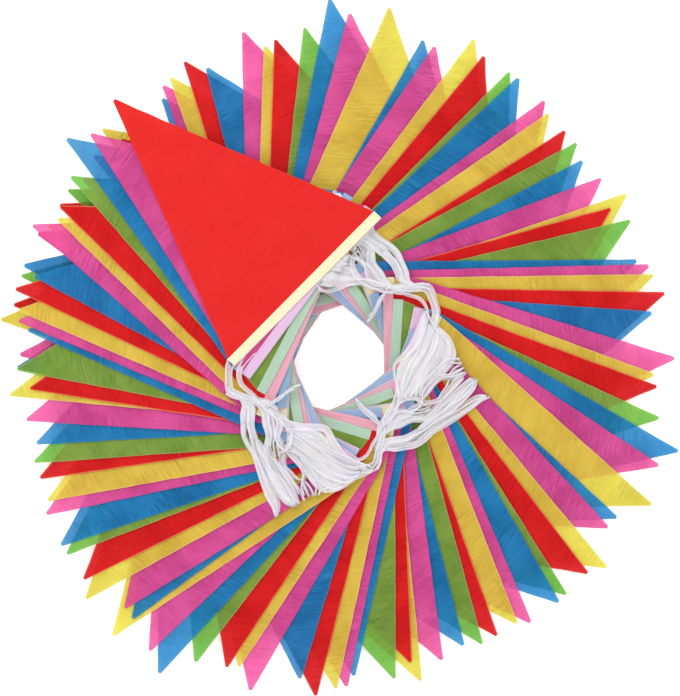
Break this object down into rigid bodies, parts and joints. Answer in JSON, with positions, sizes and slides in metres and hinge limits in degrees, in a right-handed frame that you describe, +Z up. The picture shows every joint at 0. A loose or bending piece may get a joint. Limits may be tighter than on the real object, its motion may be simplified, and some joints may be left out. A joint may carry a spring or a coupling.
{
  "type": "fabric pennant bunting",
  "caption": "Triangular cloth pennants on a white tape, folded back and forth and laid out flat as a wheel around an open hub, with the free tape in loops on top.",
  "frame": {"origin": "centre of the bounding box in plan, at the floor that the bunting lies on", "axes": "+Z up from the floor; seen from above, +X points to the right and +Y to the top of the wheel"},
  "size_m": [0.6472, 0.6744, 0.0314],
  "materials": {
    "cloth_yellow": "thin crisp nylon, see-through",
    "cloth_blue": "thin crisp nylon, see-through",
    "cloth_pink": "thin crisp nylon, see-through",
    "cloth_red": "thin crisp nylon, see-through",
    "cloth_green": "thin crisp nylon, see-through",
    "tape_white": "white woven tape, soft sheen"
  },
  "bodies": {
    "root": {"pennant_00_yellow": "cloth_yellow", "pennant_95_red": "cloth_red", "pennants_01_02_green": "cloth_green", "pennants_03_04_pink": "cloth_pink", "pennants_05_06_red": "cloth_red", "pennants_07_08_pink": "cloth_pink", "pennants_09_10_red": "cloth_red", "pennants_11_12_blue": "cloth_blue", "pennants_13_14_yellow": "cloth_yellow", "pennants_15_16_pink": "cloth_pink", "pennants_17_18_red": "cloth_red", "pennants_19_20_blue": "cloth_blue", "pennants_21_22_yellow": "cloth_yellow", "pennants_23_24_green": "cloth_green", "pennants_25_26_pink": "cloth_pink", "pennants_27_28_red": "cloth_red", "pennants_29_30_blue": "cloth_blue", "pennants_31_32_yellow": "cloth_yellow", "pennants_33_34_blue": "cloth_blue", "pennants_35_36_yellow": "cloth_yellow", "pennants_37_38_green": "cloth_green", "pennants_39_40_pink": "cloth_pink", "pennants_41_42_blue": "cloth_blue", "pennants_43_44_yellow": "cloth_yellow", "pennants_45_46_green": "cloth_green", "pennants_47_48_pink": "cloth_pink", "pennants_49_50_red": "cloth_red", "pennants_51_52_blue": "cloth_blue", "pennants_53_54_yellow": "cloth_yellow", "pennants_55_56_green": "cloth_green", "pennants_57_58_pink": "cloth_pink", "pennants_59_60_red": "cloth_red", "pennants_61_62_pink": "cloth_pink", "pennants_63_64_red": "cloth_red", "pennants_65_66_blue": "cloth_blue", "pennants_67_68_yellow": "cloth_yellow", "pennants_69_70_pink": "cloth_pink", "pennants_71_72_red": "cloth_red", "pennants_73_74_blue": "cloth_blue", "pennants_75_76_yellow": "cloth_yellow", "pennants_77_78_green": "cloth_green", "pennants_79_80_pink": "cloth_pink", "pennants_81_82_red": "cloth_red", "pennants_83_84_blue": "cloth_blue", "pennants_85_86_yellow": "cloth_yellow", "pennants_87_88_blue": "cloth_blue", "pennants_89_90_yellow": "cloth_yellow", "pennants_91_92_green": "cloth_green", "pennants_93_94_pink": "cloth_pink", "tape_loops_1": "tape_white", "tape_loops_2": "tape_white", "tape_loops_3": "tape_white"}
  },
  "joints": []
}
